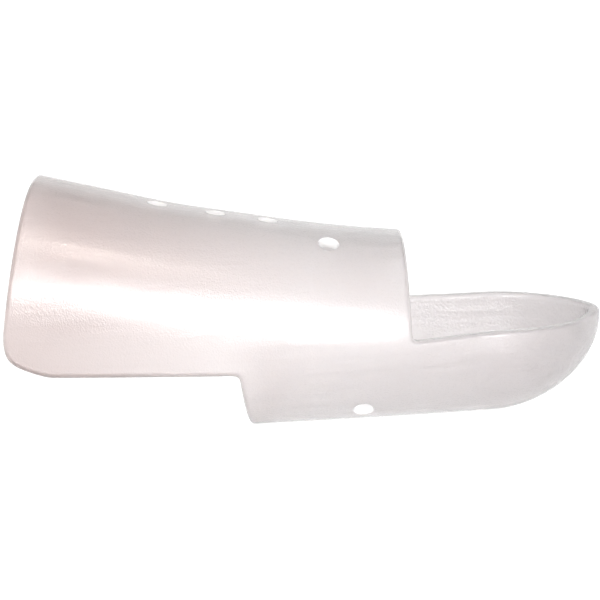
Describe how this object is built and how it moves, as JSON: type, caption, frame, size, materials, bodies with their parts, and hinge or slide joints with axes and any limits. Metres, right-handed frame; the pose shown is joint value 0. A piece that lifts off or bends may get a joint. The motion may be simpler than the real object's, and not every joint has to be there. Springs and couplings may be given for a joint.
{
  "type": "finger splint",
  "caption": "Moulded shell that holds a fingertip straight: a hood over the finger, a closed band round the last joint, an open cup under the tip, and vent holes.",
  "frame": {"origin": "middle of the bounding box, at the level of the flat sole that it rests on", "axes": "+X along the finger to the fingertip, +Y across it, +Z from the palm side to the back of the finger"},
  "size_m": [0.0642, 0.022, 0.028],
  "materials": {
    "polyethylene": "milky translucent, frosted outside with a soft gloss"
  },
  "bodies": {
    "root": {"splint_shell": "polyethylene"}
  },
  "joints": []
}
